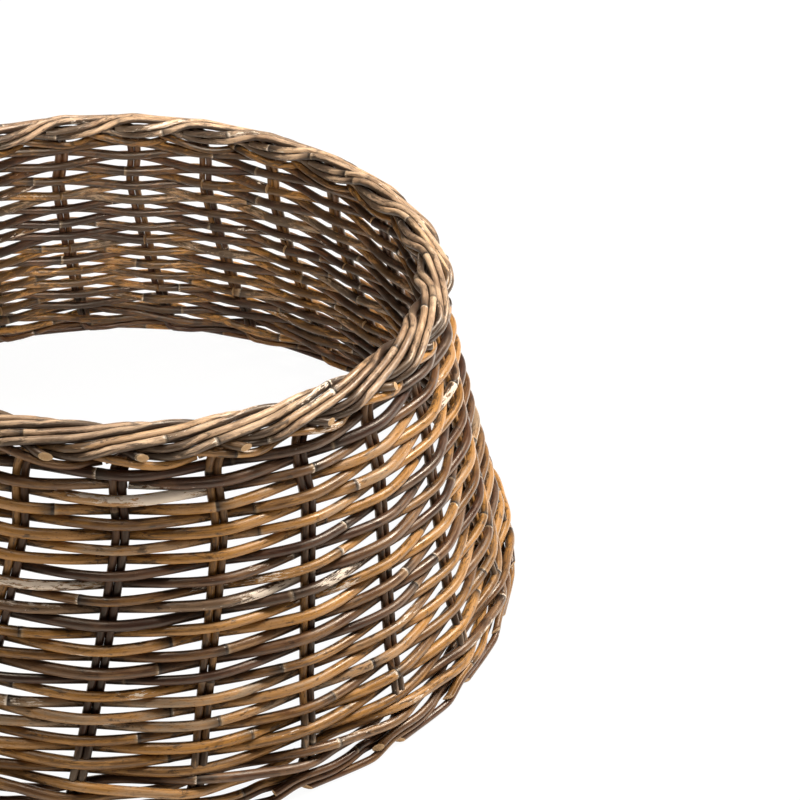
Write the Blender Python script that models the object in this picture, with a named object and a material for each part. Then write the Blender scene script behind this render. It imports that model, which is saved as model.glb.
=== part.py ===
"""Round wicker collar that hides the stand of a Christmas tree.

The collar is a bottomless basket: a ring of upright stake pairs that lean to the right as they
rise, level rods woven in and out of them, a band of stouter weaving at the foot and a twined band
at the top, and two borders made by bending the ends of the stakes themselves. At the top each pair
rolls over to the right round the rim and ends as a cut tip outside; at the foot it turns to the
left and lies along the floor. Lengths are in metres, +Z is up, the axis of the collar is Z, and
the floor is Z = 0.
"""

import math

import bmesh
import bpy
import numpy as np

# Whole collar
HEIGHT = 0.2646
BASE_RADIUS = 0.312
RIM_RADIUS = 0.2257
WAIST = 0.0045
FIRST_PAIR_TURN = math.radians(-13.96)
LEAN_PITCHES = 0.61
CLEARANCE = 0.0003

# Stake pairs
PAIR_COUNT = 24
STAKE_DIAMETER = 0.0057
WALL_RING_COUNT = 5

# Three-rod band at the foot: rings along a rod, phase in pitches from the first pair that it passes
# in front of; then shares of its stand-off from the wall, in front or behind, and of its drop
WALE_ROD_COUNT = 3
WALE_DIAMETER = 0.0074
WALE_GAP = 0.0022
WALE_HEIGHT = 0.0250
WALE_LAY_SHARES = (
    (2.0, -1.0, 0.0), (2.3, -0.7, 1.0), (2.7, 0.0, 1.0), (3.0, 1.0, 1.0),
    (3.5, 1.0, 0.0), (4.0, 1.0, -1.0), (4.3, 0.0, -1.0), (4.7, -0.7, -1.0),
)

# Level rows of single rods, standing on the foot band and packed a little looser as they go up
ROW_COUNT = 26
ROW_GAP = 0.00025
ROW_GAP_GROWTH = 0.000043
WEAVER_DIAMETER = 0.0072
ROD_END_GAP = 0.0012
ROW_START_STEP = 7

# Twined band of two rods on the top row, with the same kind of rings
TWINE_ROD_COUNT = 2
TWINE_DIAMETER = 0.0060
TWINE_GAP = 0.0007
TWINE_LAY_SHARES = ((0.7, -1.0, -1.0), (1.3, -1.0, 1.0), (1.7, 1.0, 1.0), (2.3, 1.0, -1.0))

# Rolled border at the rim, laid over the twined band. Its half width and half height follow from
# the stakes. Its rings: pitches travelled, then shares of the half width and half height, the
# direction that the flat of the pair faces (0 is outwards, 90 is up), and how many rods go on.
ROLL_RISE = 0.0084
ROLL_WIDTH_SHARE = 2.544
ROLL_HEIGHT_SHARE = 1.93
ROLL_LAY_SHARES = (
    (0.12, 0.17, -0.28, 0.0, 2),
    (0.30, 0.39, -0.19, 5.0, 2),
    (0.50, 0.66, 0.13, 27.0, 2),
    (0.75, 0.54, 0.47, 61.0, 2),
    (1.00, 0.32, 0.58, 70.0, 2),
    (1.50, -0.03, 0.75, 78.0, 2),
    (2.00, -0.37, 0.97, 104.0, 2),
    (2.50, -0.86, 0.43, 157.0, 2),
    (3.00, -0.50, -0.01, 197.0, 2),
    (3.30, -0.29, 0.06, 200.0, 1),
    (3.55, -0.33, -0.02, 200.0, 1),
    (3.75, -0.08, -0.11, 200.0, 1),
    (3.90, 0.25, -0.05, 200.0, 1),
    (4.05, 0.72, -0.05, 200.0, 1),
    (4.20, 0.98, -0.20, 200.0, 1),
)

# Foot border: pitches travelled to the left, then shares of the width of a stake, outwards, and
# of the height at which a pair lies on its edge, and rods left in the pair
FOOT_BEND_HEIGHT = 0.0135
FOOT_LAY_SHARES = (
    (0.18, -0.47, 1.75, 2),
    (0.42, -0.08, 2.04, 2),
    (0.56, 0.42, 2.06, 2),
    (0.72, 0.72, 2.06, 2),
    (1.10, 0.76, 2.06, 2),
    (1.40, 0.70, 1.00, 2),
    (1.42, 0.68, 1.00, 1),
    (2.05, 0.50, 1.00, 1),
)

# Outline of two rods lying side by side, as shares of a rod's radius: along the pair, across it.
# The edge that stands on the floor is cut flat.
EDGE_SHARE = 1.92
PAIR_OUTLINE_SHARES = (
    (-2.0, 0.0), (-1.0, -1.0), (0.0, -0.4), (1.0, -1.0), (EDGE_SHARE, -0.3),
    (EDGE_SHARE, 0.3), (1.0, 1.0), (0.0, 0.4), (-1.0, 1.0),
)
# The same points where the second rod has been cut off at the rim, and the upper one at the foot
TIP_OUTLINE_SHARES = (
    (-2.0, 0.0), (-1.0, -1.0), (-0.2, -0.5), (-0.1, -0.3), (0.0, -0.1),
    (0.0, 0.1), (-0.1, 0.3), (-0.2, 0.5), (-1.0, 1.0),
)
TAIL_OUTLINE_SHARES = (
    (0.0, 0.0), (0.1, -0.3), (0.2, -0.5), (1.0, -1.0), (EDGE_SHARE, -0.3),
    (EDGE_SHARE, 0.3), (1.0, 1.0), (0.2, 0.5), (0.1, 0.3),
)

PITCH = 2.0 * math.pi / PAIR_COUNT
STAKE_RADIUS = STAKE_DIAMETER / 2.0
SQUARE_SHARE = math.sqrt(math.pi) / 2.0
FIRST_ROW_HEIGHT = WALE_HEIGHT + CLEARANCE + (
    WALE_DIAMETER + WALE_GAP + (WALE_DIAMETER + WEAVER_DIAMETER) * SQUARE_SHARE
) / 2.0
TOP_ROW_HEIGHT = FIRST_ROW_HEIGHT + (ROW_COUNT - 1) * (
    WEAVER_DIAMETER + ROW_GAP + ROW_GAP_GROWTH * (ROW_COUNT - 2) / 2.0
)
TWINE_HEIGHT = TOP_ROW_HEIGHT + CLEARANCE + (
    TWINE_DIAMETER + TWINE_GAP + (WEAVER_DIAMETER + TWINE_DIAMETER) * SQUARE_SHARE
) / 2.0
ROLL_HEIGHT = TWINE_HEIGHT + ROLL_RISE
ROLL_HALF_WIDTH = ROLL_WIDTH_SHARE * STAKE_DIAMETER
ROLL_HALF_HEIGHT = ROLL_HEIGHT_SHARE * STAKE_DIAMETER


# Shape of the wall

def wall_radius(height):
    """Radius of the surface that the stakes stand in: a cone drawn in a little halfway up."""
    share = height / HEIGHT
    return BASE_RADIUS + (RIM_RADIUS - BASE_RADIUS) * share - WAIST * 4.0 * share * (1.0 - share)


def wall_normal(height):
    """Outward direction square to the wall, as (radial, vertical)."""
    step = HEIGHT / PAIR_COUNT
    slope = (wall_radius(height + step) - wall_radius(height - step)) / (2.0 * step)
    length = np.hypot(1.0, slope)
    return 1.0 / length, -slope / length


def stake_turn(pair, height):
    """Angle round the axis at which a pair stands at a height: it leans to the right as it rises."""
    return FIRST_PAIR_TURN + PITCH * (pair - LEAN_PITCHES * (1.0 - height / HEIGHT))


def place(turn, radius, height):
    """Points from cylindrical coordinates, with the angle measured from -Y towards +X."""
    turn, radius, height = np.broadcast_arrays(turn, radius, height)
    return np.stack([radius * np.sin(turn), -radius * np.cos(turn), height], axis=-1)


def facing(turn, angle):
    """Unit directions in the upright plane through the axis: angle 0 is outwards, a quarter turn is up."""
    return place(turn, np.cos(angle), np.sin(angle))


# Meshes and materials

def material(name, colour, roughness):
    """A plain cane finish."""
    made = bpy.data.materials.new(name)
    made.use_nodes = True
    shader = made.node_tree.nodes["Principled BSDF"]
    shader.inputs["Base Color"].default_value = (*colour, 1.0)
    shader.inputs["Roughness"].default_value = roughness
    shader.inputs["Metallic"].default_value = 0.0
    return made


def sweep(name, centres, normals, outlines, finish):
    """A rod carried along its centres, one ring of points at each, with both ends closed.

    The outline's first number runs along the width of the rod and the second along the normal.
    """
    ahead = np.gradient(centres, axis=0)
    ahead /= np.linalg.norm(ahead, axis=1, keepdims=True)
    normals = normals - ahead * np.sum(normals * ahead, axis=1, keepdims=True)
    normals /= np.linalg.norm(normals, axis=1, keepdims=True)
    widths = np.cross(ahead, normals)
    rings = (
        centres[:, None, :]
        + outlines[:, :, 0, None] * widths[:, None, :]
        + outlines[:, :, 1, None] * normals[:, None, :]
    )
    sides = rings.shape[1]
    shape = bmesh.new()
    corners = [[shape.verts.new(point) for point in ring] for ring in rings.tolist()]
    for here, there in zip(corners, corners[1:]):
        for side in range(sides):
            after = (side + 1) % sides
            shape.faces.new((here[side], here[after], there[after], there[side]))
    shape.faces.new(corners[0][::-1])
    shape.faces.new(corners[-1])
    bmesh.ops.recalc_face_normals(shape, faces=shape.faces)
    mesh = bpy.data.meshes.new(name)
    shape.to_mesh(mesh)
    shape.free()
    mesh.materials.append(finish)
    mesh.shade_smooth()
    mesh.set_sharp_from_angle(angle=math.radians(50.0))
    made = bpy.data.objects.new(name, mesh)
    bpy.context.scene.collection.objects.link(made)
    return made


# Stake pairs with the borders that their ends make

def stake_route(pair):
    """Centre, normal angle and rods left at each ring of one pair, from its tail at the foot to its tip."""
    turns, radii, heights, angles, rods = [], [], [], [], []

    def ring(turn, radius, height, angle, count):
        turns.append(turn)
        radii.append(radius)
        heights.append(height)
        angles.append(math.radians(angle))
        rods.append(count)

    foot_turn = stake_turn(pair, FOOT_BEND_HEIGHT)
    for pitches, across, up, count in reversed(FOOT_LAY_SHARES):
        height = EDGE_SHARE * STAKE_RADIUS * up
        ring(
            foot_turn - pitches * PITCH,
            wall_radius(height) + across * STAKE_DIAMETER,
            height, 0.0, count,
        )
    ring(
        foot_turn,
        wall_radius(FOOT_BEND_HEIGHT) + FOOT_LAY_SHARES[0][1] * STAKE_DIAMETER,
        FOOT_BEND_HEIGHT, 0.0, 2,
    )
    wall_foot = WALE_HEIGHT - WALE_DIAMETER
    wall_head = TWINE_HEIGHT + TWINE_DIAMETER / 2.0
    for height in np.linspace(wall_foot, wall_head, WALL_RING_COUNT):
        ring(stake_turn(pair, height), wall_radius(height), height, 0.0, 2)
    head_turn = stake_turn(pair, wall_head)
    for pitches, across, up, angle, count in ROLL_LAY_SHARES:
        ring(
            head_turn + pitches * PITCH,
            wall_radius(ROLL_HEIGHT) + across * ROLL_HALF_WIDTH,
            ROLL_HEIGHT + up * ROLL_HALF_HEIGHT, angle, count,
        )
    return tuple(np.array(values) for values in (turns, radii, heights, angles, rods))


def stake_pair(pair, finish):
    """One pair of stakes, fused flank to flank, with its tail at the foot and its roll at the rim."""
    turns, radii, heights, angles, rods = stake_route(pair)
    both, tip, tail = (
        np.array(shares) * STAKE_RADIUS
        for shares in (PAIR_OUTLINE_SHARES, TIP_OUTLINE_SHARES, TAIL_OUTLINE_SHARES)
    )
    tip[:, 0] += STAKE_RADIUS
    low = (heights < FOOT_BEND_HEIGHT)[:, None, None]
    outlines = np.where((rods == 2)[:, None, None], both, np.where(low, tail, tip))
    centres = place(turns, radii, heights)
    return sweep(f"stake_pair_{pair + 1:02d}", centres, facing(turns, angles), outlines, finish)


# Woven rods

def rod_outline(diameter, rings):
    """A square of the same area as the round rod, once for each ring."""
    half = diameter / 2.0 * SQUARE_SHARE
    square = np.array([(-half, -half), (half, -half), (half, half), (-half, half)])
    return np.broadcast_to(square, (rings, 4, 2))


def reach(diameter, height):
    """How far a rod's middle stands off the middle of the stakes, in front of a pair and behind one."""
    half = diameter / 2.0 * SQUARE_SHARE
    seat = half + STAKE_RADIUS + CLEARANCE
    arc = PITCH * wall_radius(height)
    crossing = math.atan2(2.0 * seat, arc)
    flat_stretch = WAIST / (WALL_RING_COUNT - 1) ** 2
    front = seat + flat_stretch + STAKE_RADIUS * math.tan(crossing + PITCH / 2.0)
    back = seat + STAKE_RADIUS * math.tan(max(crossing - PITCH / 2.0, 0.0))
    return front, back


def woven_rod(name, steps, across, rise, height, diameter, finish):
    """A rod woven once round the collar.

    steps holds the places of its rings in stake pitches, across how far each stands off the wall,
    and rise how far it climbs or falls along the wall from its level.
    """
    outward, upward = wall_normal(height)
    radius = wall_radius(height) + across * outward - rise * upward
    level = height + across * upward + rise * outward
    turns = stake_turn(0, height) + steps * PITCH
    end_angle = ROD_END_GAP / 2.0 / wall_radius(height)
    turns[0] += end_angle
    turns[-1] -= end_angle
    centres = place(turns, radius, level)
    normals = facing(turns, np.full(len(turns), math.atan2(upward, outward)))
    return sweep(name, centres, normals, rod_outline(diameter, len(turns)), finish)


def weaver_row(row, finish):
    """One level rod, in front of one pair and behind the next; the row above does the opposite."""
    height = FIRST_ROW_HEIGHT + row * (WEAVER_DIAMETER + ROW_GAP + ROW_GAP_GROWTH * (row - 1) / 2.0)
    front, back = reach(WEAVER_DIAMETER, height)
    first = (ROW_START_STEP * row) % PAIR_COUNT
    first += (first + row + 1) % 2
    steps = first + np.arange(PAIR_COUNT + 1, dtype=float)
    across = np.where((steps.astype(int) + row) % 2 == 0, front, -back)
    return woven_rod(
        f"weaver_row_{row + 1:02d}", steps, across, np.zeros(len(steps)), height, WEAVER_DIAMETER, finish
    )


def banded_rod(name, rod, rods, lay, height, diameter, gap, finish):
    """One rod of a band of rods that pass each other between the pairs, by its table of shares."""
    front, back = reach(diameter, height)
    table = np.array(lay)
    rounds = np.arange(PAIR_COUNT // rods) * rods
    steps = rod + (rounds[:, None] + table[None, :, 0]).ravel()
    steps = np.append(steps, steps[0] + PAIR_COUNT)
    share = np.append(np.tile(table[:, 1], len(rounds)), table[0, 1])
    drop = np.append(np.tile(table[:, 2], len(rounds)), table[0, 2])
    across = np.where(share > 0.0, front, back) * share
    rise = drop * (diameter + gap) / 2.0
    return woven_rod(name, steps, across, rise, height, diameter, finish)


def wale_rod(rod, finish):
    """A rod of the foot band: in front of two pairs, falling as it goes, then behind one and up again."""
    name = f"foot_wale_rod_{rod + 1}"
    return banded_rod(
        name, rod, WALE_ROD_COUNT, WALE_LAY_SHARES, WALE_HEIGHT, WALE_DIAMETER, WALE_GAP, finish
    )


def twine_rod(rod, finish):
    """A rod of the rim band: in front of one pair and behind the next, crossing its partner between them."""
    name = f"rim_twine_rod_{rod + 1}"
    return banded_rod(
        name, rod, TWINE_ROD_COUNT, TWINE_LAY_SHARES, TWINE_HEIGHT, TWINE_DIAMETER, TWINE_GAP, finish
    )


def main():
    for old in list(bpy.data.objects):
        bpy.data.objects.remove(old)
    stake_cane = material("stake_cane", (0.30, 0.19, 0.10), 0.55)
    weaver_cane = material("weaver_cane", (0.27, 0.16, 0.085), 0.5)
    band_cane = material("band_cane", (0.33, 0.21, 0.11), 0.5)
    for pair in range(PAIR_COUNT):
        stake_pair(pair, stake_cane)
    for row in range(ROW_COUNT):
        weaver_row(row, weaver_cane)
    for rod in range(WALE_ROD_COUNT):
        wale_rod(rod, band_cane)
    for rod in range(TWINE_ROD_COUNT):
        twine_rod(rod, band_cane)


main()
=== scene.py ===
"""Looks of the wicker Christmas tree collar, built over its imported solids.

Every rod of the collar is skinned here as one or more lengths of round cane with joints, taper,
cut ends and bark. The rods follow the same lay as the solids that they replace: the axis of the
collar is Z, the floor is Z = 0, and angles are measured from -Y towards +X. Lengths are metres.
"""

from __future__ import annotations

import logging
import math
from dataclasses import dataclass, field
from enum import Enum
from functools import cached_property

import bpy
import numpy as np
from mathutils import Matrix


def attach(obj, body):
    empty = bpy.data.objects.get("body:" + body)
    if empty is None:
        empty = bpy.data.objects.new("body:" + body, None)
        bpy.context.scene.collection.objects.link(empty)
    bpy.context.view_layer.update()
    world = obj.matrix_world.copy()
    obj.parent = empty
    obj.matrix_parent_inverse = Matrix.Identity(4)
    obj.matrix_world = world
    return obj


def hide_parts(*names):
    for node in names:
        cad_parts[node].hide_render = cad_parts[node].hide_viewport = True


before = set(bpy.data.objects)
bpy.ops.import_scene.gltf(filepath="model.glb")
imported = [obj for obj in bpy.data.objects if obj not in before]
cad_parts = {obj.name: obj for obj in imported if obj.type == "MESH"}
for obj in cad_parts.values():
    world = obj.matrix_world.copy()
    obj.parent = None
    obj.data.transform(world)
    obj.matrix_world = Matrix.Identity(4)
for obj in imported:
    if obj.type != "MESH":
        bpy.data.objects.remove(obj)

LOG = logging.getLogger("tree_collar")
TAU = 2.0 * math.pi
BODY = "root"

Array = np.ndarray
Rng = np.random.Generator
Span = tuple[float, float]
Socket = bpy.types.NodeSocket
Sockets = bpy.types.bpy_prop_collection
Tree = bpy.types.NodeTree
Colour = tuple[float, float, float]
Place = tuple[float, float, float]
Weights = tuple[tuple[object, float], ...]


def unit(vectors: Array) -> Array:
    """Vectors divided by their lengths, along the last axis."""
    return vectors / np.maximum(np.linalg.norm(vectors, axis=-1, keepdims=True), 1e-12)


def travel(points: Array) -> Array:
    """Distance along a line of points: the running sum of the lengths of its steps."""
    return np.concatenate([[0.0], np.cumsum(np.linalg.norm(np.diff(points, axis=0), axis=1))])


def bell(gap: Array) -> Array:
    """A bell curve, 1 in its middle and 1 / e where the gap is 1: e to minus the gap squared."""
    return np.exp(-(gap**2))


def directions(centres: Array, normals: Array) -> tuple[Array, Array, Array]:
    """Directions at each point of a line: ahead, its normals made square to that, and across.

    Args:
        centres: Points of the line.
        normals: A direction at each point, roughly across the line.

    Returns:
        The three directions at each point.
    """
    ahead = unit(np.gradient(centres, axis=0))
    normals = unit(normals - ahead * np.sum(normals * ahead, axis=1, keepdims=True))
    return ahead, normals, np.cross(ahead, normals)


def placed(name: str, data: bpy.types.ID) -> bpy.types.Object:
    """A new object in the scene.

    Args:
        name: Its name.
        data: Its mesh, light or camera.

    Returns:
        The object.
    """
    made = bpy.data.objects.new(name, data)
    bpy.context.scene.collection.objects.link(made)
    return made


def turn_to(made: bpy.types.Object, axes: list[Array], place: Array | Place) -> None:
    """Put an object at a place with its own X, Y and Z along the axes.

    Args:
        made: The object.
        axes: Three directions of length 1.
        place: Where it goes.
    """
    matrix = np.eye(4)
    matrix[:3, :3] = np.stack(axes, axis=1)
    matrix[:3, 3] = place
    made.matrix_world = Matrix(matrix.tolist())


def smooth_through(knots: Array, spacing: float) -> Array:
    """Carry a smooth curve through knots.

    Each stretch is a cubic with the values of its two knots and, at each knot, the slope of the
    parabola through that knot and its neighbours, all against the distance travelled.

    Args:
        knots: One row per knot; the first three columns are its place and the others go along.
        spacing: Wanted distance between the points of the curve.

    Returns:
        Points of the curve, with the same columns.
    """
    marks = travel(knots[:, :3])
    slopes = np.gradient(knots, marks, axis=0)
    at = np.linspace(0.0, marks[-1], max(int(math.ceil(marks[-1] / spacing)), 3) + 1)
    left = np.clip(np.searchsorted(marks, at, side="right") - 1, 0, len(marks) - 2)
    gap = (marks[left + 1] - marks[left])[:, None]
    t = (at - marks[left])[:, None] / gap
    near, far = knots[left], knots[left + 1]
    rise, fall = slopes[left] * gap, slopes[left + 1] * gap
    return (
        (1.0 + 2.0 * t) * (1.0 - t) ** 2 * near
        + t * (1.0 - t) ** 2 * rise
        + t**2 * (3.0 - 2.0 * t) * far
        - t**2 * (1.0 - t) * fall
    )


def slow_wander(rng: Rng, at: Array, wavelength: float, size: float) -> Array:
    """A smooth irregular line: four sines of falling size with random phases.

    Args:
        rng: Source of the phases.
        at: Where the line is wanted.
        wavelength: Longest wave.
        size: Rough half height of the line.

    Returns:
        The value of the line at each place.
    """
    orders = np.array([1.0, 1.9, 3.1, 4.7])
    phases = rng.uniform(0.0, TAU, 4)
    waves = np.sin(at[..., None] * TAU / wavelength * orders + phases)
    return size * waves @ np.array([0.5, 0.3, 0.22, 0.14])


def ring_wander(rng: Rng, turns: Array, orders: tuple[int, ...], size: float) -> Array:
    """A smooth irregular line that closes on itself round the collar: whole numbers of waves a turn.

    Args:
        rng: Source of the phases.
        turns: Angles where the line is wanted.
        orders: Waves a turn of each of its sines.
        size: Half height of the first sine.

    Returns:
        The value of the line at each angle.
    """
    phases = rng.uniform(0.0, TAU, len(orders))
    sizes = size / np.sqrt(np.arange(1, len(orders) + 1))
    return np.sin(turns[..., None] * np.array(orders) + phases) @ sizes


class CaneTone(Enum):
    """Colour families of the bark; the value is the place on the bark's colour ramp."""

    PLUM = 0.08
    UMBER = 0.26
    OLIVE = 0.44
    HONEY = 0.62
    TAN = 0.80
    SILVER = 0.95

    @classmethod
    def drawn(cls, rng: Rng, shares: tuple[float, ...]) -> CaneTone:
        """A family drawn at random, by the shares of the first ones."""
        return tuple(cls)[rng.choice(len(shares), p=shares)]


class CutEnd(Enum):
    """How a length of cane is cut off; the value is the slant of the cut in degrees."""

    SQUARE = 8.0
    OBLIQUE = 52.0


@dataclass(frozen=True)
class CollarForm:
    """Sizes of the whole collar and the surface that its stakes stand in."""

    height: float = 0.2646
    base_radius: float = 0.312
    rim_radius: float = 0.2257
    waist: float = 0.0045
    first_pair_turn: float = math.radians(-13.96)
    lean_pitches: float = 0.61
    pair_count: int = 24
    stake_diameter: float = 0.0057
    weaver_diameter: float = 0.0072
    row_count: int = 26
    row_gap: float = 0.00025
    row_gap_growth: float = 0.000043
    wale_diameter: float = 0.0074
    wale_gap: float = 0.0022
    wale_height: float = 0.0250
    twine_diameter: float = 0.0060
    twine_gap: float = 0.0007
    clearance: float = 0.0003
    roll_rise: float = 0.0084
    square_share: float = math.sqrt(math.pi) / 2.0

    @property
    def pitch(self) -> float:
        """Angle between neighbouring pairs."""
        return TAU / self.pair_count

    def stacked(self, lower: float, upper: float) -> float:
        """Height between the middles of two rods lying one on the other."""
        return (lower + upper) / 2.0 * self.square_share + self.clearance

    @property
    def first_row_height(self) -> float:
        """Height of the lowest level row, which stands on the foot band."""
        drop = (self.wale_diameter + self.wale_gap) / 2.0
        return self.wale_height + drop + self.stacked(self.wale_diameter, self.weaver_diameter)

    def row_height(self, row: int) -> float:
        """Height of a level row, counted from 0: the gaps under the rows grow evenly upwards."""
        gap = self.row_gap + self.row_gap_growth * (row - 1) / 2.0
        return self.first_row_height + row * (self.weaver_diameter + gap)

    @property
    def twine_height(self) -> float:
        """Height of the twined band, which stands on the top row."""
        top_row = self.row_height(self.row_count - 1)
        drop = (self.twine_diameter + self.twine_gap) / 2.0
        return top_row + drop + self.stacked(self.weaver_diameter, self.twine_diameter)

    @property
    def roll_height(self) -> float:
        """Height of the middle of the rolled border."""
        return self.twine_height + self.roll_rise

    def wall_radius(self, height: Array | float) -> Array | float:
        """Radius of the stakes' surface: a cone drawn in a little halfway up, as a parabola.

        Args:
            height: Height over the floor.

        Returns:
            The radius there.
        """
        share = height / self.height
        cone = self.base_radius + (self.rim_radius - self.base_radius) * share
        return cone - self.waist * 4.0 * share * (1.0 - share)

    def stake_turn(self, pair: Array | float, height: Array | float) -> Array | float:
        """Angle of a pair round the axis at a height: pairs lean to the right as they rise."""
        lean = self.lean_pitches * (1.0 - height / self.height)
        return self.first_pair_turn + self.pitch * (pair - lean)

    @staticmethod
    def place(turn: Array, radius: Array, height: Array) -> Array:
        """Points from cylindrical coordinates: (r sin turn, -r cos turn, height)."""
        turn, radius, height = np.broadcast_arrays(turn, radius, height)
        return np.stack([radius * np.sin(turn), -radius * np.cos(turn), height], axis=-1)

    def facing(self, turn: Array, angle: Array) -> Array:
        """Directions in the upright plane through the axis: angle 0 is outwards, 90 degrees is up."""
        return self.place(turn, np.cos(angle), np.sin(angle))

    def off_wall(self, turns: Array, height: float, across: Array, rise: Array) -> tuple[Array, Array]:
        """Points off the wall, and the wall's outward direction there, from the slope of its radius.

        Args:
            turns: Angle of each point round the axis.
            height: Height on the wall that they start from.
            across: Distance of each, square to the wall.
            rise: Distance of each, up along the wall.

        Returns:
            The points and the directions.
        """
        slope = (self.rim_radius - self.base_radius) / self.height
        slope -= self.waist * 4.0 * (1.0 - 2.0 * height / self.height) / self.height
        length = math.hypot(1.0, slope)
        outward, upward = 1.0 / length, -slope / length
        radius = self.wall_radius(height) + across * outward - rise * upward
        points = self.place(turns, radius, height + across * upward + rise * outward)
        return points, self.facing(turns, np.full(len(turns), math.atan2(upward, outward)))


@dataclass
class Cane:
    """One length of cane, ring by ring, ready to be skinned."""

    centres: Array
    normals: Array
    radii: Array
    tone: Array
    pale: Array
    crease: Array
    # Dark blotch amounts: real dirt plus painted shade, then painted shade on the flanks and back.
    dirt_and_shade: Array
    flank_shade: Array
    joint: Array
    along: Array
    cuts: tuple[CutEnd, CutEnd]
    cut_turns: Span
    oval: float
    oval_turn: float


@dataclass(frozen=True)
class CaneHabit:
    """How the cane has grown: its joints, its taper, its colour and how far it is from round."""

    joint_spacing: float = 0.21
    joint_spread: float = 0.6
    joint_swell: float = 0.06
    joint_reach: float = 0.0013
    joint_range: float = 0.03
    first_gap_share: float = 0.2
    neck_depth: float = 0.045
    neck_reach: float = 0.007
    taper: float = 0.07
    oval: float = 0.04
    least_oval_share: float = 0.3
    thickness_spread: float = 0.05
    thickness_wave: float = 0.09
    thickness_wander: float = 0.018
    tone_by_joint: float = 0.055
    tone_spread: float = 0.045
    tone_wave: float = 0.7
    tone_wander: float = 0.13
    pale_wave: float = 0.35
    pale_wander: float = 0.16
    pattern_length: float = 50.0

    def joints(self, rng: Rng, length: float) -> Array:
        """Places of the joints along a length of cane: a random walk of about the usual spacing.

        Args:
            rng: Source of the steps.
            length: The length.

        Returns:
            Distance of each joint from its start.
        """
        count = int(length / (self.joint_spacing * (1.0 - self.joint_spread))) + 3
        steps = self.joint_spacing * (1.0 + self.joint_spread * rng.uniform(-1.0, 1.0, count))
        return np.cumsum(steps) - rng.uniform(self.first_gap_share, 1.0) * self.joint_spacing

    def grow(
        self,
        rng: Rng,
        centres: Array,
        normals: Array,
        radius: float,
        tone: CaneTone,
        pale: Array | float,
        dirt_and_shade: Array | float,
        flank_shade: Array | float,
        crease: Array | float = 0.0,
        cuts: tuple[CutEnd, CutEnd] = (CutEnd.SQUARE, CutEnd.SQUARE),
        cut_turns: Span = (0.0, 0.0),
    ) -> Cane:
        """Grow a cane along a line.

        The radius tapers evenly, swells as a bell curve at each joint and necks in beside it. The
        joint value is the distance to the nearest joint, with a sign that changes at each joint,
        so that it passes through zero there and nowhere else.

        Args:
            rng: Source of the joints and of the cane's own thickness.
            centres: Middle of the cane, ring by ring.
            normals: A direction across the cane at each ring.
            radius: Usual radius.
            tone: Colour family.
            pale: How weathered it is, 0 to 1, along it.
            dirt_and_shade: How dark it is with real dirt plus painted shade, 0 to 1, along it.
            flank_shade: How much painted shade is added on its flanks and its back, along it.
            crease: How sharply it is kinked, 0 to 1, along it.
            cuts: How its two ends are cut.
            cut_turns: Angle round the cane of the longest side at each cut.

        Returns:
            The cane.
        """
        at = travel(centres)
        even = np.ones(len(at))
        joints = self.joints(rng, at[-1])
        gaps = at[:, None] - joints[None, :]
        nearest = np.abs(gaps).min(axis=1)
        passed = (gaps > 0.0).sum(axis=1)
        swells = self.joint_swell * bell(gaps / self.joint_reach).sum(axis=1)
        necks = self.neck_depth * bell((gaps - self.neck_reach) / self.neck_reach).sum(axis=1)
        own = 1.0 + self.thickness_spread * rng.uniform(-1.0, 1.0)
        lean = 1.0 + self.taper * (0.5 - at / at[-1]) * rng.choice([-1.0, 1.0])
        radii = radius * own * lean * (1.0 + swells - necks)
        radii *= 1.0 + slow_wander(rng, at, self.thickness_wave, self.thickness_wander)
        by_joint = rng.normal(0.0, self.tone_by_joint, len(joints) + 1)[passed]
        drift = slow_wander(rng, at, self.tone_wave, self.tone_wander)
        shade = tone.value + by_joint + drift + rng.normal(0.0, self.tone_spread)
        return Cane(
            centres=centres,
            normals=normals,
            radii=radii,
            tone=np.clip(shade, 0.0, 1.0),
            pale=np.clip(pale + slow_wander(rng, at, self.pale_wave, self.pale_wander), 0.0, 1.0),
            crease=crease * even,
            dirt_and_shade=dirt_and_shade * even,
            flank_shade=flank_shade * even,
            joint=np.clip(nearest, 0.0, self.joint_range) * np.where(passed % 2 == 0, 1.0, -1.0),
            along=at + rng.uniform(0.0, self.pattern_length),
            cuts=cuts,
            cut_turns=cut_turns,
            oval=self.oval * rng.uniform(self.least_oval_share, 1.0),
            oval_turn=rng.uniform(0.0, TAU),
        )


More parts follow.
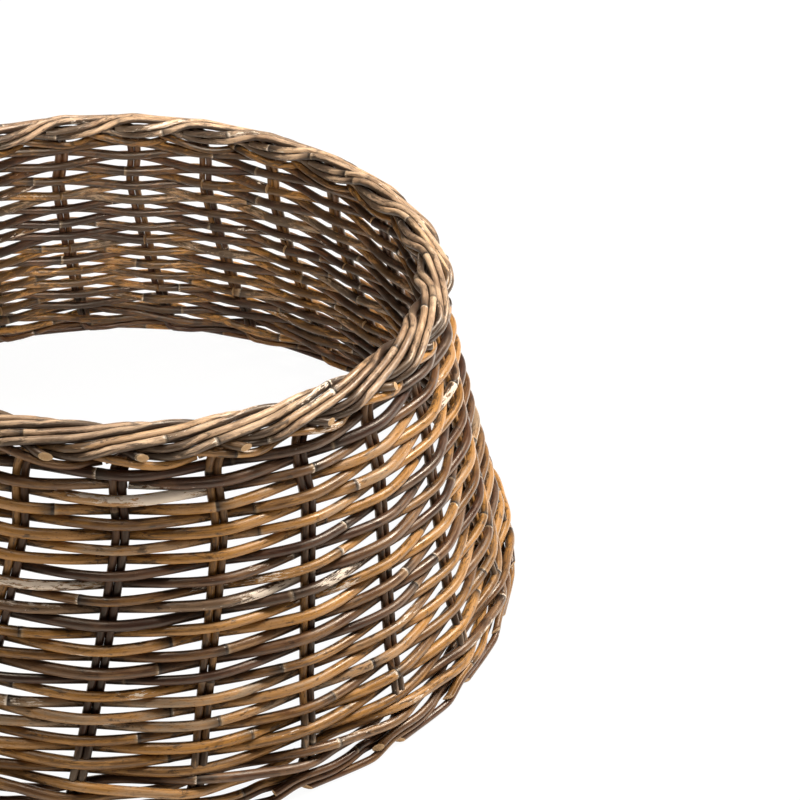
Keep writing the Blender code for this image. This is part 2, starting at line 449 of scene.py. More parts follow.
@dataclass
class CaneMesh:
    """Gathers lengths of cane and skins them into one mesh."""

    name: str
    sides: int = 10
    cut_reach: float = 5.0
    crease_depth: float = 0.16
    shelter: float = 0.65
    sharp_degrees: float = 55.0
    points: list[Array] = field(default_factory=list)
    quads: list[Array] = field(default_factory=list)
    fans: list[Array] = field(default_factory=list)
    values: dict[str, list[Array]] = field(default_factory=dict)
    count: int = 0

    def slanted(self, cane: Cane, turn: Array, end: int) -> Array:
        """Shift along the cane that slants a cut: the slope times the height across, fading inwards.

        Args:
            cane: The cane.
            turn: Angle round the cane of each side.
            end: 0 for its start and 1 for its far end.

        Returns:
            One shift per ring and side.
        """
        at = travel(cane.centres)
        inwards = at[-1] - at if end else at
        fade = np.clip(1.0 - inwards / (self.cut_reach * cane.radii), 0.0, 1.0)
        slope = math.tan(math.radians(cane.cuts[end].value))
        return (fade * cane.radii * slope)[:, None] * np.cos(turn - cane.cut_turns[end])[None, :]

    def keep(self, key: str, skin: Array, hubs: Array) -> None:
        """Gather a value of the skin's points and of the middles of its two cuts."""
        self.values.setdefault(key, []).append(np.concatenate([skin, hubs]))

    def add(self, cane: Cane) -> None:
        """Skin one cane.

        A point of the skin is the middle, plus the radius along the normal times the sine of the
        angle round, plus the radius along the width times its cosine. The radius has a small
        two-lobed oval, and both ends are closed by a fan. From where the skin faces the normal
        to the flanks and the back, painted shade is added to the dark blotches and the weathering fades.

        Args:
            cane: The cane.
        """
        rings, sides = len(cane.centres), self.sides
        ahead, normals, widths = directions(cane.centres, cane.normals)
        turn = np.arange(sides) * TAU / sides
        radius = cane.radii[:, None] * (1.0 + cane.oval * np.cos(2.0 * turn - cane.oval_turn))[None, :]
        radius = radius * (1.0 - self.crease_depth * cane.crease[:, None] * np.sin(turn)[None, :] ** 2)
        across, up = radius * np.cos(turn), radius * np.sin(turn)
        slant = self.slanted(cane, turn, 1) - self.slanted(cane, turn, 0)
        skin = (
            cane.centres[:, None, :]
            + across[:, :, None] * widths[:, None, :]
            + up[:, :, None] * normals[:, None, :]
            + slant[:, :, None] * ahead[:, None, :]
        )
        middles = np.stack([skin[0].mean(axis=0), skin[-1].mean(axis=0)])
        self.points.append(np.concatenate([skin.reshape(-1, 3), middles]))
        first, after = np.arange(sides), (np.arange(sides) + 1) % sides
        rows = np.arange(rings - 1)[:, None] * sides
        here, there = (rows + first).ravel(), (rows + after).ravel()
        self.quads.append(np.stack([here, here + sides, there + sides, there], axis=1) + self.count)
        base, last = rings * sides, (rings - 1) * sides
        near = np.stack([np.full(sides, base), first, after], axis=1)
        far = np.stack([np.full(sides, base + 1), last + after, last + first], axis=1)
        self.fans.append(np.concatenate([near, far]) + self.count)
        even = np.ones((1, sides))
        # How far the skin turns from the normal to the flanks and back, where painted shade is added.
        hidden = (1.0 - np.clip(np.sin(turn), 0.0, 1.0))[None, :] ** 2
        spread = {
            "tone": cane.tone[:, None] * even,
            "pale": cane.pale[:, None] * (1.0 - self.shelter * hidden),
            "crease": cane.crease[:, None] * even,
            "dirt_and_shade": cane.dirt_and_shade[:, None] + cane.flank_shade[:, None] * hidden,
            "joint": cane.joint[:, None] * even,
        }
        for key, values in spread.items():
            self.keep(key, values.ravel(), getattr(cane, key)[[0, -1]])
        places = np.stack([cane.along[:, None] + slant, across, up], axis=-1)
        hubs = np.array([[cane.along[0], 0.0, 0.0], [cane.along[-1], 0.0, 0.0]])
        self.keep("cane_place", places.reshape(-1, 3), hubs)
        self.count += rings * sides + 2

    def build(self, bark: bpy.types.Material, pith: bpy.types.Material) -> bpy.types.Object:
        """Put the gathered canes into one object.

        Args:
            bark: Material of the skin.
            pith: Material of the cut ends.

        Returns:
            The object, linked to the scene.
        """
        points = np.concatenate(self.points)
        quads, fans = np.concatenate(self.quads), np.concatenate(self.fans)
        loops = np.concatenate([quads.ravel(), fans.ravel()])
        starts = np.concatenate([np.arange(len(quads)) * 4, quads.size + np.arange(len(fans)) * 3])
        mesh = bpy.data.meshes.new(self.name)
        mesh.vertices.add(len(points))
        mesh.vertices.foreach_set("co", points.ravel())
        mesh.loops.add(len(loops))
        mesh.loops.foreach_set("vertex_index", loops)
        mesh.polygons.add(len(starts))
        mesh.polygons.foreach_set("loop_start", starts)
        mesh.update(calc_edges=True)
        mesh.materials.append(bark)
        mesh.materials.append(pith)
        slots = np.repeat(np.array([0, 1], dtype=np.int32), [len(quads), len(fans)])
        mesh.polygons.foreach_set("material_index", slots)
        for key, parts in self.values.items():
            values = np.concatenate(parts)
            kind, member = ("FLOAT_VECTOR", "vector") if values.ndim == 2 else ("FLOAT", "value")
            layer = mesh.attributes.new(key, kind, "POINT")
            layer.data.foreach_set(member, values.astype(np.float32).ravel())
        mesh.shade_smooth()
        mesh.set_sharp_from_angle(angle=math.radians(self.sharp_degrees))
        return placed(self.name, mesh)


@dataclass(frozen=True)
class Pattern:
    """A noise: its features a metre along a cane and across it, and how fine and warped it is."""

    along: float
    across: float
    detail: float = 2.0
    roughness: float = 0.55
    warp: float = 0.0


class Graph:
    """A node tree with short calls for adding and joining its nodes."""

    def __init__(self, tree: Tree) -> None:
        """Wrap a node tree and clear it."""
        self.tree = tree
        tree.nodes.clear()

    @classmethod
    def dressed(cls, name: str) -> tuple[Graph, bpy.types.Material]:
        """Start a material.

        Args:
            name: Its name.

        Returns:
            Its graph and the material.
        """
        made = bpy.data.materials.new(name)
        made.use_nodes = True
        return cls(made.node_tree), made

    @classmethod
    def effect(
        cls, name: str, inputs: dict[str, float], outputs: tuple[str, ...]
    ) -> tuple[Graph, Sockets, Sockets]:
        """Start a node group that turns a place and some numbers into masks.

        Args:
            name: Its name.
            inputs: Default of each number that it takes beside the place.
            outputs: Names of its masks.

        Returns:
            Its graph, what it is given and what it has to put out.
        """
        tree = bpy.data.node_groups.new(name, "ShaderNodeTree")
        tree.interface.new_socket("Place", in_out="INPUT", socket_type="NodeSocketVector")
        for label, default in inputs.items():
            made = tree.interface.new_socket(label, in_out="INPUT", socket_type="NodeSocketFloat")
            made.default_value = default
        for label in outputs:
            tree.interface.new_socket(label, in_out="OUTPUT", socket_type="NodeSocketFloat")
        graph = cls(tree)
        return graph, graph.node("NodeGroupInput").outputs, graph.node("NodeGroupOutput").inputs

    def put(self, socket: Socket, value: object) -> None:
        """Join a socket to a node's output, or set its own value.

        Args:
            socket: An input.
            value: An output, or what the input is set to.
        """
        if isinstance(value, Socket):
            self.tree.links.new(value, socket)
        else:
            socket.default_value = value

    def node(
        self, kind: str, inputs: dict[str | int, object] | None = None, **settings: object
    ) -> bpy.types.Node:
        """Add a node.

        Args:
            kind: Blender's name of the node type, without ShaderNode.
            inputs: Values or outputs for its inputs, by name or number.
            settings: The node's own settings.

        Returns:
            The node.
        """
        made = self.tree.nodes.new("ShaderNode" + kind if not kind.startswith("Node") else kind)
        for key, value in settings.items():
            setattr(made, key, value)
        for key, value in (inputs or {}).items():
            self.put(made.inputs[key], value)
        return made

    def shared(self, tree: Tree, inputs: dict[str, object]) -> Sockets:
        """Place a shared effect; returns its outputs."""
        return self.node("Group", inputs, node_tree=tree).outputs

    def stored(self, name: str, output: str = "Fac") -> Socket:
        """A number stored on the mesh, or a vector if the output is Vector."""
        return self.node("Attribute", attribute_name=name).outputs[output]

    def math(self, operation: str, *values: object, clamp: bool = False) -> Socket:
        """One sum, by Blender's name for it."""
        inputs = dict(enumerate(values))
        return self.node("Math", inputs, operation=operation, use_clamp=clamp).outputs[0]

    def total(self, parts: Weights, start: float = 0.0, clamp: bool = False) -> Socket:
        """A start and values times their weights, added up; clamped at the end if wanted.

        Args:
            parts: Each value with its weight.
            start: The start.
            clamp: Whether to clamp the sum.

        Returns:
            The sum.
        """
        result: object = start
        for number, (value, weight) in enumerate(parts, 1):
            last = clamp and number == len(parts)
            result = self.math("MULTIPLY_ADD", value, weight, result, clamp=last)
        return result

    def between(
        self, value: object, low: float, high: float, start: float = 0.0, end: float = 1.0
    ) -> Socket:
        """A value stretched smoothly from one range to another and held at its ends.

        Args:
            value: The value.
            low: Where the first range starts.
            high: Where it ends.
            start: What the start becomes.
            end: What the end becomes.

        Returns:
            The stretched value.
        """
        inputs = {"Value": value, "From Min": low, "From Max": high, "To Min": start, "To Max": end}
        return self.node("MapRange", inputs, interpolation_type="SMOOTHSTEP").outputs["Result"]

    def mix(self, share: object, below: object, above: object, blend: str = "MIX") -> Socket:
        """One colour laid over another.

        Args:
            share: How much of the upper one shows.
            below: The lower one.
            above: The upper one.
            blend: Blender's name for how they mix.

        Returns:
            The colour.
        """
        inputs = {0: share, 6: below, 7: above}
        settings = {"data_type": "RGBA", "blend_type": blend, "clamp_factor": True}
        return self.node("Mix", inputs, **settings).outputs[2]

    def lay(self, below: object, mask: object, strength: float, colour: Colour) -> Socket:
        """A plain colour laid over another by a mask times a strength."""
        return self.mix(self.math("MULTIPLY", mask, strength), below, (*colour, 1.0))

    def noise(self, place: object, pattern: Pattern) -> Socket:
        """The noise of a pattern.

        Args:
            place: Its coordinates.
            pattern: The pattern.

        Returns:
            A number about one half.
        """
        scale = (pattern.along, pattern.across, pattern.across)
        stretched = self.node("VectorMath", {0: place, 1: scale}, operation="MULTIPLY").outputs[0]
        return self.node("TexNoise", {
            "Vector": stretched, "Scale": 1.0, "Detail": pattern.detail,
            "Roughness": pattern.roughness, "Distortion": pattern.warp,
        }).outputs[0]

    def ramp(self, share: object, stops: tuple[tuple[float, Colour], ...]) -> Socket:
        """A colour picked from a row of colours.

        Args:
            share: Where to pick, 0 to 1.
            stops: Place and colour of each stop.

        Returns:
            The colour.
        """
        made = self.node("ValToRGB", {"Fac": share})
        row = made.color_ramp.elements
        while len(row) < len(stops):
            row.new(0.5)
        for element, (at, colour) in zip(row, stops):
            element.position = at
            element.color = (*colour, 1.0)
        return made.outputs["Color"]


@dataclass
class BarkEffects:
    """The four effects that every bark shares, each a node group that is built on its first use."""

    grain_parts: tuple[tuple[str, Pattern, float, float], ...] = (
        ("Streak", Pattern(30.0, 720.0, 3.0, 0.65), 0.32, 0.68),
        ("Mottle", Pattern(42.0, 150.0, 4.0, 0.62, 0.6), 0.33, 0.67),
        ("Speck", Pattern(420.0, 1100.0, 2.0, 0.7), 0.56, 0.72),
    )
    line_width: float = 0.0015
    line_edge: float = 1.9
    line_wobble_share: float = 0.15
    scar_width: float = 0.0036
    stain_slope: float = 0.3
    wobble: float = 0.0030
    ragged: Pattern = Pattern(90.0, 500.0)
    marked: Pattern = Pattern(7.0, 0.0, 0.0)
    marked_range: Span = (0.36, 0.56)
    least_marked: float = 0.7
    patch: Pattern = Pattern(9.0, 55.0, 2.0, 0.5)
    torn: Pattern = Pattern(130.0, 620.0, 4.0, 0.7, 0.5)
    flake_sharpness: float = 4.0
    flake_growth: float = 0.22
    flake_level: float = 0.72
    flake_edge: float = 0.12
    tear: float = 2.4
    tear_level: float = 1.25
    blotch: Pattern = Pattern(70.0, 260.0, 5.0, 0.74, 0.8)
    # The blotches stand for real dirt and for painted shade, by the amount given.
    blotch_sharpness: float = 13.0
    blotch_growth: float = 0.34
    blotch_level: float = 0.71

    @cached_property
    def grain(self) -> Tree:
        """Fine lengthwise streaks, broad mottling and specks of bark.

        Returns:
            The group.
        """
        labels = tuple(part[0] for part in self.grain_parts)
        graph, given, made = Graph.effect("cane_grain", {}, labels)
        for label, pattern, low, high in self.grain_parts:
            graph.put(made[label], graph.between(graph.noise(given["Place"], pattern), low, high))
        return graph.tree

    @cached_property
    def joints(self) -> Tree:
        """The dark line at a joint, the pale scar on one side of it and the stain on the other.

        The joint's distance is signed, so its two sides can be told apart, and a slow noise along
        the cane makes some joints fainter than others.

        Returns:
            The group.
        """
        graph, given, made = Graph.effect(
            "cane_joint",
            {"Joint": CaneHabit.joint_range, "Line Width": self.line_width, "Scar Width": self.scar_width},
            ("Line", "Scar", "Stain"),
        )
        place, signed = given["Place"], given["Joint"]
        shown = graph.between(graph.noise(place, self.marked), *self.marked_range, self.least_marked)
        wobble = graph.total(((graph.noise(place, self.ragged), self.wobble),), -self.wobble / 2.0)
        distance = graph.math("ABSOLUTE", signed)
        distance = graph.math("MULTIPLY_ADD", wobble, self.line_wobble_share, distance)
        widths = graph.math("DIVIDE", distance, given["Line Width"])
        line = graph.total(((widths, -self.line_edge),), self.line_edge, clamp=True)
        graph.put(made["Line"], graph.math("MULTIPLY", line, shown))
        widths = graph.math("DIVIDE", graph.math("ADD", signed, wobble), given["Scar Width"])
        sides = (("Scar", -1.0, "GREATER_THAN"), ("Stain", self.stain_slope, "LESS_THAN"))
        for label, slope, compared in sides:
            fade = graph.total(((widths, slope),), 1.0, clamp=True)
            fade = graph.math("MULTIPLY", fade, graph.math(compared, signed, 0.0))
            graph.put(made[label], graph.math("MULTIPLY", fade, shown))
        return graph.tree

    @cached_property
    def flakes(self) -> Tree:
        """Patches where the bark has flaked off, and the height of the bark round them.

        A broad noise above a level, which sinks as the amount rises, and a fine noise that tears
        the edge are added up and cut off sharply.

        Returns:
            The group.
        """
        graph, given, made = Graph.effect("bark_flakes", {"Amount": 0.2}, ("Mask", "Height"))
        place, sharpness = given["Place"], self.flake_sharpness
        over = graph.total((
            (graph.noise(place, self.patch), sharpness),
            (given["Amount"], sharpness * self.flake_growth),
            (graph.noise(place, self.torn), self.tear),
        ), -sharpness * self.flake_level - self.tear_level)
        mask = graph.between(over, 0.0, self.flake_edge)
        graph.put(made["Mask"], mask)
        graph.put(made["Height"], graph.math("SUBTRACT", 1.0, mask))
        return graph.tree

    @cached_property
    def dirt_and_shade_spots(self) -> Tree:
        """Dark blotches with ragged edges, which spread and deepen as the amount rises.
        The amount holds real dirt plus painted shade on flanks, backs and crossings.

        Returns:
            The group.
        """
        graph, given, made = Graph.effect("cane_dirt_and_shade", {"Amount": 0.25}, ("Mask",))
        sharpness = self.blotch_sharpness
        graph.put(made["Mask"], graph.total((
            (graph.noise(given["Place"], self.blotch), sharpness),
            (given["Amount"], sharpness * self.blotch_growth),
        ), -sharpness * self.blotch_level, clamp=True))
        return graph.tree


@dataclass(frozen=True)
class BarkFinish:
    """Colours and surface of one sort of bark."""

    name: str
    ramp: tuple[tuple[float, Colour], ...]
    weathered: Colour = (0.47, 0.31, 0.18)
    flake: Colour = (0.68, 0.58, 0.48)
    line: Colour = (0.018, 0.011, 0.008)
    scar: Colour = (0.46, 0.34, 0.21)
    flake_amount: float = 1.6
    joint_flakes: float = 1.1
    least_flakes: float = 0.05
    mottle_swing: float = 0.20
    streak_swing: float = 0.14
    least_faded: float = 0.45
    shaded_end: float = 0.55
    darkest: float = 0.72
    split_range: Span = (0.25, 0.6)
    speck_strength: float = 0.45
    dirt_and_shade_strength: float = 0.78
    stain_strength: float = 0.95
    scar_strength: float = 0.6
    split_strength: float = 0.8
    streak_relief: float = 0.35
    flake_relief: float = 0.8
    line_relief: float = -1.0
    split_relief: float = -1.2
    relief_strength: float = 0.38
    relief_depth: float = 0.0004
    roughness: float = 0.36
    rough_swing: float = 0.16
    flake_roughness: float = 0.35
    specular: float = 0.42
    sheen_tint: Colour = (1.0, 0.90, 0.78)

    def material(self, effects: BarkEffects) -> bpy.types.Material:
        """Make the material.

        Args:
            effects: The shared node groups.

        Returns:
            The bark.
        """
        graph, made = Graph.dressed(self.name)
        place, pale = graph.stored("cane_place", "Vector"), graph.stored("pale")
        grain = graph.shared(effects.grain, {"Place": place})
        streak, mottle, speck = (grain[key] for key in ("Streak", "Mottle", "Speck"))
        joint = graph.shared(effects.joints, {"Place": place, "Joint": graph.stored("joint")})
        torn = ((pale, self.flake_amount), (joint["Scar"], self.joint_flakes))
        amount = graph.total(torn, self.least_flakes)
        flakes = graph.shared(effects.flakes, {"Place": place, "Amount": amount})
        # Dark blotches for real dirt, grown further by painted shade on flanks, backs and crossings.
        dirt_and_shade_spots = graph.shared(effects.dirt_and_shade_spots, {"Place": place, "Amount": graph.stored("dirt_and_shade")})
        split = graph.math("MULTIPLY", graph.stored("crease"), graph.between(streak, *self.split_range))
        swings = ((graph.stored("tone"), 1.0), (mottle, self.mottle_swing), (streak, self.streak_swing))
        tone = graph.total(swings, -(self.mottle_swing + self.streak_swing) / 2.0)
        faded = graph.math("MULTIPLY", pale, graph.between(mottle, 0.0, 1.0, self.least_faded))
        colour = graph.lay(graph.ramp(tone, self.ramp), faded, 1.0, self.weathered)
        shade = graph.between(streak, 0.0, self.shaded_end, self.darkest)
        colour = graph.mix(1.0, colour, shade, "MULTIPLY")
        for mask, strength, tint in (
            (speck, self.speck_strength, self.line),
            # Dark blotches of real dirt and painted shade, in the dark line colour.
            (dirt_and_shade_spots["Mask"], self.dirt_and_shade_strength, self.line),
            (joint["Stain"], self.stain_strength, self.line),
            (joint["Scar"], self.scar_strength, self.scar),
            (flakes["Mask"], 1.0, self.flake),
            (joint["Line"], 1.0, self.line),
            (split, self.split_strength, self.line),
        ):
            colour = graph.lay(colour, mask, strength, tint)
        swings = ((mottle, self.rough_swing), (flakes["Mask"], self.flake_roughness))
        rough = graph.total(swings, self.roughness - self.rough_swing / 2.0)
        height = graph.total((
            (speck, -self.streak_relief),
            (streak, self.streak_relief),
            (flakes["Height"], self.flake_relief),
            (joint["Line"], self.line_relief),
            (split, self.split_relief),
        ))
        relief = {"Strength": self.relief_strength, "Distance": self.relief_depth, "Height": height}
        shader = graph.node("BsdfPrincipled", {
            "Base Color": colour, "Roughness": rough, "Specular IOR Level": self.specular,
            "Specular Tint": (*self.sheen_tint, 1.0), "Normal": graph.node("Bump", relief).outputs[0],
        })
        graph.node("OutputMaterial", {"Surface": shader.outputs[0]})
        return made


@dataclass(frozen=True)
class PithFinish:
    """The pale end grain of cut cane."""

    name: str = "cut_pith"
    core: Colour = (0.40, 0.24, 0.11)
    edge: Colour = (0.48, 0.32, 0.17)
    pore: Colour = (0.20, 0.12, 0.06)
    core_radius: float = 0.0008
    edge_radius: float = 0.0032
    pores: Pattern = Pattern(300.0, 2600.0, 1.0)
    pore_range: Span = (0.56, 0.66)
    pore_strength: float = 0.6
    relief_strength: float = 0.5
    relief_depth: float = 0.0003
    wood_roughness: float = 0.72
    pore_roughness: float = 0.9

    def material(self) -> bpy.types.Material:
        """Make the material: dark pores in pale wood, paler towards the bark.

        Returns:
            The pith.
        """
        graph, made = Graph.dressed(self.name)
        place = graph.stored("cane_place", "Vector")
        across = graph.node("VectorMath", {0: place, 1: (0.0, 1.0, 1.0)}, operation="MULTIPLY")
        middle = graph.node("VectorMath", {0: across.outputs[0]}, operation="LENGTH").outputs["Value"]
        ring = graph.between(middle, self.core_radius, self.edge_radius)
        pores = graph.between(graph.noise(place, self.pores), *self.pore_range)
        wood = graph.lay((*self.core, 1.0), ring, 1.0, self.edge)
        height = graph.math("SUBTRACT", 1.0, pores)
        relief = {"Strength": self.relief_strength, "Distance": self.relief_depth, "Height": height}
        shader = graph.node("BsdfPrincipled", {
            "Base Color": graph.lay(wood, pores, self.pore_strength, self.pore),
            "Roughness": graph.between(pores, 0.0, 1.0, self.wood_roughness, self.pore_roughness),
            "Normal": graph.node("Bump", relief).outputs[0],
        })
        graph.node("OutputMaterial", {"Surface": shader.outputs[0]})
        return made


BARK_RAMP = (
    (0.00, (0.034, 0.014, 0.009)),
    (0.16, (0.068, 0.027, 0.014)),
    (0.34, (0.112, 0.050, 0.019)),
    (0.50, (0.190, 0.090, 0.026)),
    (0.66, (0.375, 0.176, 0.040)),
    (0.82, (0.380, 0.195, 0.070)),
    (1.00, (0.290, 0.200, 0.125)),
)


@dataclass
class Piece:
    """What every sub-assembly needs to put its canes in the scene."""

    form: CollarForm
    bark: bpy.types.Material
    pith: bpy.types.Material
    slot: str
    seed: int
    spacing: float = 0.0034
    habit: CaneHabit = field(default_factory=CaneHabit)

    def finish(self, name: str, node: str, canes: list[Cane]) -> bpy.types.Object:
        """Skin canes, let the piece stand for its solid and report it.

        Args:
            name: Name of the piece.
            node: The solid that it replaces.
            canes: Its canes.

        Returns:
            The piece.
        """
        mesh = CaneMesh(name)
        for cane in canes:
            mesh.add(cane)
        piece = mesh.build(self.bark, self.pith)
        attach(piece, BODY)
        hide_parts(node)
        LOG.info("%s: %d points in place of %s", piece.name, mesh.count, node)
        return piece


@dataclass
class StakePairs(Piece):
    """Upright pairs, whose ends make the foot border and the rolled border at the rim.

    A row of either lay is a knot: pitches travelled round the collar, distance outwards and
    height. In the roll two more say which way the pair's flat faces, in degrees up from outwards,
    and how many of its rods lie side by side there.
    """

    slit: float = 0.0001
    foot_bend_height: float = 0.0135
    edge_share: float = 1.92
    foot_lay: tuple[tuple[float, float, float], ...] = (
        (0.18, -0.47, 1.75),
        (0.42, -0.08, 2.04),
        (0.56, 0.42, 2.06),
        (0.72, 0.72, 2.06),
        (1.10, 0.76, 2.06),
        (1.40, 0.70, 1.00),
        (1.42, 0.68, 1.00),
        (2.05, 0.50, 1.00),
    )
    roll_width_share: float = 2.544
    roll_height_share: float = 1.93
    roll_lay: tuple[tuple[float, float, float, float, int], ...] = (
        (0.12, 0.17, -0.28, 0.0, 2),
        (0.30, 0.39, -0.19, 5.0, 2),
        (0.50, 0.66, 0.13, 27.0, 2),
        (0.75, 0.54, 0.47, 61.0, 2),
        (1.00, 0.32, 0.58, 70.0, 2),
        (1.50, -0.03, 0.75, 78.0, 2),
        (2.00, -0.37, 0.97, 104.0, 2),
        (2.50, -0.86, 0.43, 157.0, 2),
        (3.00, -0.50, -0.01, 197.0, 2),
        (3.30, -0.29, 0.06, 200.0, 1),
        (3.55, -0.33, -0.02, 200.0, 1),
        (3.75, -0.08, -0.11, 200.0, 1),
        (3.90, 0.25, -0.05, 200.0, 1),
        (4.05, 0.72, -0.05, 200.0, 1),
        (4.20, 0.98, -0.20, 200.0, 1),
    )
    kink_phase: float = 2.05
    kink_spread: float = 0.05
    kink_reach: float = 0.045
    tail_trims: Span = (0.66, 0.76)
    low_tail_trim: float = 0.03
    tip_trim: float = 0.12
    inner_end: float = 3.12
    floor_lift: float = 1.14
    wall_rings: int = 5
    wall_phase: float = -0.5
    tone_shares: tuple[float, ...] = (0.28, 0.38, 0.24, 0.10)
    oblique_share: float = 0.5
    tail_turn_spread: float = 0.5
    tip_turn_spread: float = 0.4
    pale_start: float = 0.8
    rolled_pale: float = 0.72
    pale_range: Span = (0.6, 1.3)
    dives: tuple[Span, ...] = ((0.3, 0.35), (2.95, 0.45))
    # Amounts of dark blotches: a base of real dirt, then painted shade on the uprights where the rows
    # cross them, where the pair dives into the roll, and on the flanks and back of the rolled part.
    plain_grime: float = 0.38
    upright_shade: float = 0.2
    diving_shade: float = 0.7
    rolled_flank_shade: float = 1.1

    def route(self, pair: int) -> Array:
        """Knots of one pair, from its tail at the foot to its tip outside the rim.

        Args:
            pair: Number of the pair.

        Returns:
            Columns: place, direction that its flat faces, sideways share of the leading rod, and
            phase: pitches travelled in the roll, the wall's own phase up the wall, and one less
            than minus the pitches travelled along the floor.
        """
        form = self.form
        thick = form.stake_diameter
        edge = self.edge_share * thick / 2.0
        foot_turn = form.stake_turn(pair, self.foot_bend_height)
        rows = [
            (foot_turn - pitches * form.pitch, form.wall_radius(edge * up) + across * thick,
             edge * up, 0.0, -1.0, -1.0 - pitches)
            for pitches, across, up in reversed(self.foot_lay)
        ]
        bend_radius = form.wall_radius(self.foot_bend_height) + self.foot_lay[0][1] * thick
        rows.append((foot_turn, bend_radius, self.foot_bend_height, 0.0, -1.0, -1.0))
        low = form.wale_height - form.wale_diameter
        high = form.twine_height + form.twine_diameter / 2.0
        for height in np.linspace(low, high, self.wall_rings):
            turn = form.stake_turn(pair, height)
            rows.append((turn, form.wall_radius(height), height, 0.0, -1.0, self.wall_phase))
        head_turn = form.stake_turn(pair, high)
        for phase, across, up, angle, count in self.roll_lay:
            rows.append((
                head_turn + phase * form.pitch,
                form.wall_radius(form.roll_height) + across * self.roll_width_share * thick,
                form.roll_height + up * self.roll_height_share * thick,
                math.radians(angle),
                -1.0 if count == 2 else 0.0,
                phase,
            ))
        table = np.array(rows)
        places = form.place(table[:, 0], table[:, 1], table[:, 2])
        return np.column_stack([places, form.facing(table[:, 0], table[:, 3]), table[:, 4:]])

    def canes(self, pair: int) -> list[Cane]:
        """The two rods of a pair: the leading rod runs to the tip, the other stops inside the roll.

        Each rod lies half a thickness and half a slit to its side of the middle of the pair, no
        lower than the floor lets it and no higher than the rim. The tails and tips are trimmed to
        different lengths, with the longest side of each cut towards the axis, so that its face
        looks outwards. Dirt lies all along; painted shade is added on the uprights, where the rows
        cross them, on the flanks and back of the rolled part, and, as bell curves of the phase,
        where the pair dives into the roll.

        Args:
            pair: Number of the pair.

        Returns:
            The rods.
        """
        rng = np.random.default_rng(self.seed + pair)
        line = smooth_through(self.route(pair), self.spacing)
        centres, normals, side, phase = line[:, :3], line[:, 3:6], line[:, 6], line[:, 7]
        normals, widths = directions(centres, normals)[1:]
        radius = self.form.stake_diameter / 2.0
        upright = np.clip(1.0 - np.abs(phase - self.wall_phase) * 2.0, 0.0, 1.0)
        offset = radius + self.slit / 2.0 * upright
        rolled = np.clip(phase / self.pale_start, 0.0, 1.0)
        pale = self.rolled_pale * rolled * rng.uniform(*self.pale_range)
        diving = sum(bell((phase - middle) / reach) for middle, reach in self.dives)
        # Real dirt all along, plus painted shade on the uprights and where the pair dives into the roll.
        dirt_and_shade = self.plain_grime + self.upright_shade * upright
        dirt_and_shade += self.diving_shade * np.minimum(diving, 1.0)
        made = []
        for leads in (True, False):
            share = side if leads else np.ones(len(side))
            low = rng.uniform(*self.tail_trims) if leads else rng.uniform(0.0, self.low_tail_trim)
            high = phase[-1] - rng.uniform(0.0, self.tip_trim) if leads else self.inner_end
            keep = (phase > phase[0] + low) & (phase < high)
            kink = self.kink_phase + rng.uniform(-self.kink_spread, self.kink_spread)
            crease = bell((phase - kink) / self.kink_reach)
            middle = centres + widths * (share * offset)[:, None]
            ceiling = self.form.height - self.form.clearance
            middle[:, 2] = np.clip(middle[:, 2], radius * self.floor_lift, ceiling)
            tone = CaneTone.drawn(rng, self.tone_shares)
            slanted = rng.random() < self.oblique_share or not leads
            tail_turn = rng.uniform(-self.tail_turn_spread, self.tail_turn_spread) - math.pi / 2.0
            tip_turn = rng.uniform(-self.tip_turn_spread, self.tip_turn_spread) + math.pi / 2.0
            made.append(self.habit.grow(
                rng, middle[keep], normals[keep], radius, tone, pale[keep], dirt_and_shade[keep],
                self.rolled_flank_shade * rolled[keep], crease[keep],
                (CutEnd.OBLIQUE if slanted else CutEnd.SQUARE, CutEnd.OBLIQUE if leads else CutEnd.SQUARE),
                (tail_turn, tip_turn),
            ))
        return made

    def build(self) -> None:
        """Make every pair."""
        for pair in range(self.form.pair_count):
            self.finish(f"stake_canes_{pair + 1:02d}", f"stake_pair_{pair + 1:02d}", self.canes(pair))


